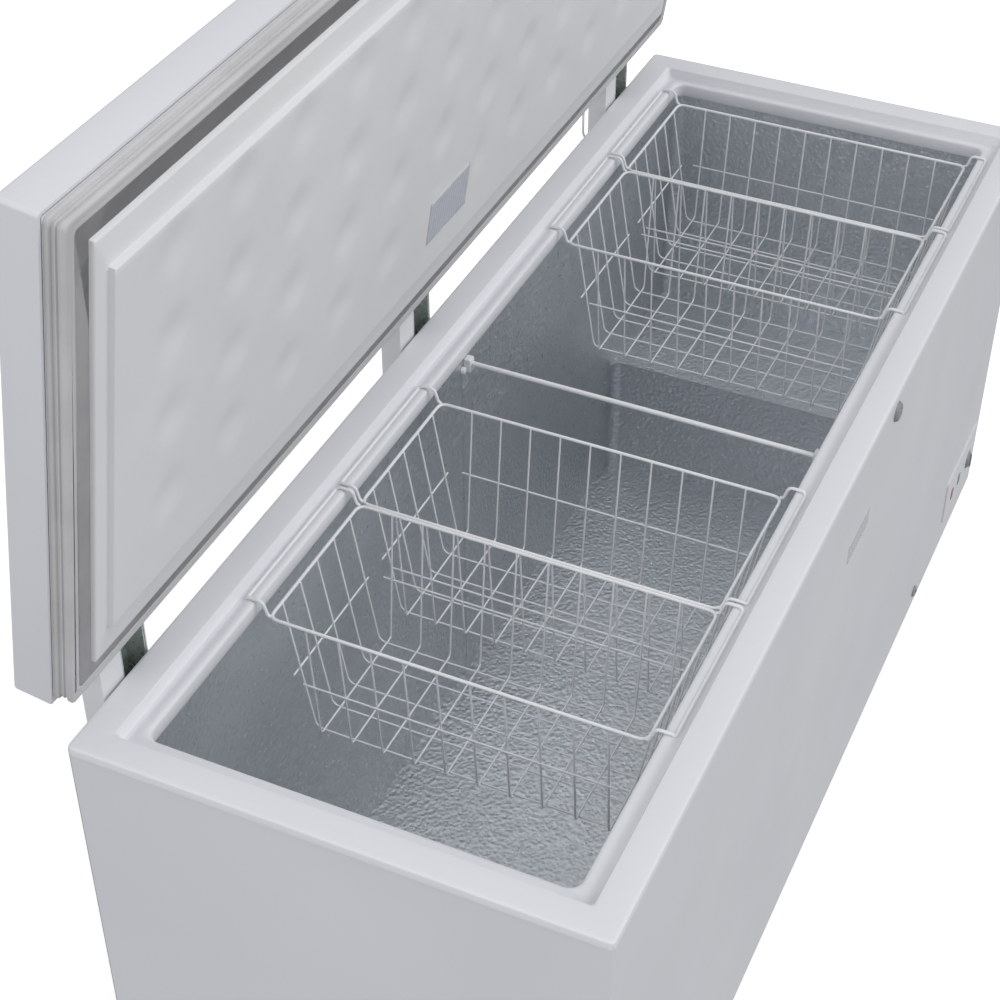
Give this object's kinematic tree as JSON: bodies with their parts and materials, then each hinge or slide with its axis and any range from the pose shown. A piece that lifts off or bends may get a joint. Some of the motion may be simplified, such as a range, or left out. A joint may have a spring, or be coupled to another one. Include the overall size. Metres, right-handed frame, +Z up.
{
  "type": "chest freezer",
  "caption": "Long white chest freezer with a hinged insulated lid, hanging wire baskets that slide along the collar, a raised floor over the machine bay and front controls.",
  "frame": {"origin": "on the floor, under the centre of the cabinet's footprint", "axes": "+X along the cabinet towards the machine bay, +Y towards the hinges at the back, +Z up"},
  "size_m": [1.97, 0.7894, 1.6458],
  "materials": {
    "white_steel": "satin",
    "zinc_steel": "satin",
    "foam": "matte",
    "liner": "stucco",
    "collar": "satin",
    "lid_liner": "satin",
    "copper": "satin",
    "black_steel": "satin",
    "black_plastic": "matte",
    "rubber": "matte",
    "gasket": "matte",
    "white_plastic": "satin",
    "grey_plastic": "matte",
    "green_lens": "gloss",
    "red_lens": "gloss",
    "clear_lens": "gloss",
    "badge": "satin",
    "white_wire": "satin",
    "hinge_zinc": "satin",
    "bright_steel": "polished"
  },
  "bodies": {
    "cabinet": {"front_panel": "white_steel", "left_side_panel": "white_steel", "right_side_panel": "white_steel", "back_panel": "zinc_steel", "base_plate": "zinc_steel", "machine_bay_shell": "zinc_steel", "compressor_tray": "zinc_steel", "roller_brackets": "zinc_steel", "cabinet_foam": "foam", "inner_liner": "liner", "top_collar": "collar", "evaporator_coil": "copper", "refrigerant_pipes": "copper", "filter_drier": "copper", "compressor": "black_steel", "condenser_coil": "black_steel", "starter_box": "black_plastic", "mains_cable_gland": "black_plastic", "compartment_grille": "black_plastic", "compressor_grommets": "rubber", "control_fascia": "white_plastic", "drain_tube": "white_plastic", "tie_rod_clips": "white_plastic", "hinge_covers": "white_plastic", "lamp_lead_lower": "white_plastic", "thermostat": "grey_plastic", "lock_housing": "grey_plastic", "power_light_lens": "green_lens", "alarm_light_lens": "red_lens", "badge_plate": "badge", "tie_rod": "white_wire", "hinge_bracket_left": "hinge_zinc", "hinge_bracket_middle": "hinge_zinc", "hinge_bracket_right": "hinge_zinc", "hinge_springs": "hinge_zinc", "hinge_pins": "bright_steel", "cabinet_screws": "bright_steel", "roller_axles": "bright_steel"},
    "knob": {"thermostat_knob": "white_plastic"},
    "lock": {"lock_barrel": "bright_steel"},
    "drain_plug": {"drain_cap": "white_plastic"},
    "foot_front": {"levelling_foot_front": "black_plastic"},
    "foot_rear": {"levelling_foot_rear": "black_plastic"},
    "roller_front": {"roller_wheel_front": "black_plastic"},
    "roller_rear": {"roller_wheel_rear": "black_plastic"},
    "lid": {"lid_outer_panel": "white_steel", "lid_foam": "foam", "lid_liner": "lid_liner", "lid_gasket": "gasket", "lid_handle": "grey_plastic", "lock_keeper": "hinge_zinc", "lamp_base": "white_plastic", "lamp_lens": "clear_lens", "hinge_leaves": "hinge_zinc", "lid_screws": "bright_steel", "lamp_lead_upper": "white_plastic"},
    "basket_one": {"basket_1": "white_wire"},
    "basket_two": {"basket_2": "white_wire"},
    "basket_three": {"basket_3": "white_wire"},
    "basket_four": {"basket_4": "white_wire"}
  },
  "joints": [
    {"name": "lid_hinge", "type": "hinge", "parent": "cabinet", "child": "lid", "pos_m": [0, 0.386, 0.867], "axis": [1, 0, 0], "range_deg": [0, 81.74], "stiffness_Nm_per_rad": 36, "springref_deg": -28.65},
    {"name": "basket_one_slide", "type": "slide", "parent": "cabinet", "child": "basket_one", "axis": [1, 0, 0], "range_m": [-0.25, 0]},
    {"name": "basket_two_slide", "type": "slide", "parent": "cabinet", "child": "basket_two", "axis": [1, 0, 0], "range_m": [0, 0.115]},
    {"name": "basket_three_slide", "type": "slide", "parent": "cabinet", "child": "basket_three", "axis": [1, 0, 0], "range_m": [-0.34, 0]},
    {"name": "basket_four_slide", "type": "slide", "parent": "cabinet", "child": "basket_four", "axis": [1, 0, 0], "range_m": [0, 0.025]},
    {"name": "knob_turn", "type": "hinge", "parent": "cabinet", "child": "knob", "pos_m": [0.913, -0.366, 0.141], "axis": [0, -1, 0], "range_deg": [-135, 135]},
    {"name": "lock_turn", "type": "hinge", "parent": "cabinet", "child": "lock", "pos_m": [0.15, -0.365, 0.785], "axis": [0, -1, 0], "range_deg": [0, 90]},
    {"name": "drain_plug_pull", "type": "slide", "parent": "cabinet", "child": "drain_plug", "axis": [0, -1, 0], "range_m": [0, 0.03]},
    {"name": "foot_front_turn", "type": "hinge", "parent": "cabinet", "child": "foot_front", "pos_m": [-0.9, -0.29, 0], "axis": [0, 0, 1], "continuous": true},
    {"name": "foot_rear_turn", "type": "hinge", "parent": "cabinet", "child": "foot_rear", "pos_m": [-0.9, 0.29, 0], "axis": [0, 0, 1], "continuous": true},
    {"name": "roller_front_roll", "type": "hinge", "parent": "cabinet", "child": "roller_front", "pos_m": [0.9, -0.29, 0.0215], "axis": [0, 1, 0], "continuous": true},
    {"name": "roller_rear_roll", "type": "hinge", "parent": "cabinet", "child": "roller_rear", "pos_m": [0.9, 0.29, 0.0215], "axis": [0, 1, 0], "continuous": true}
  ]
}
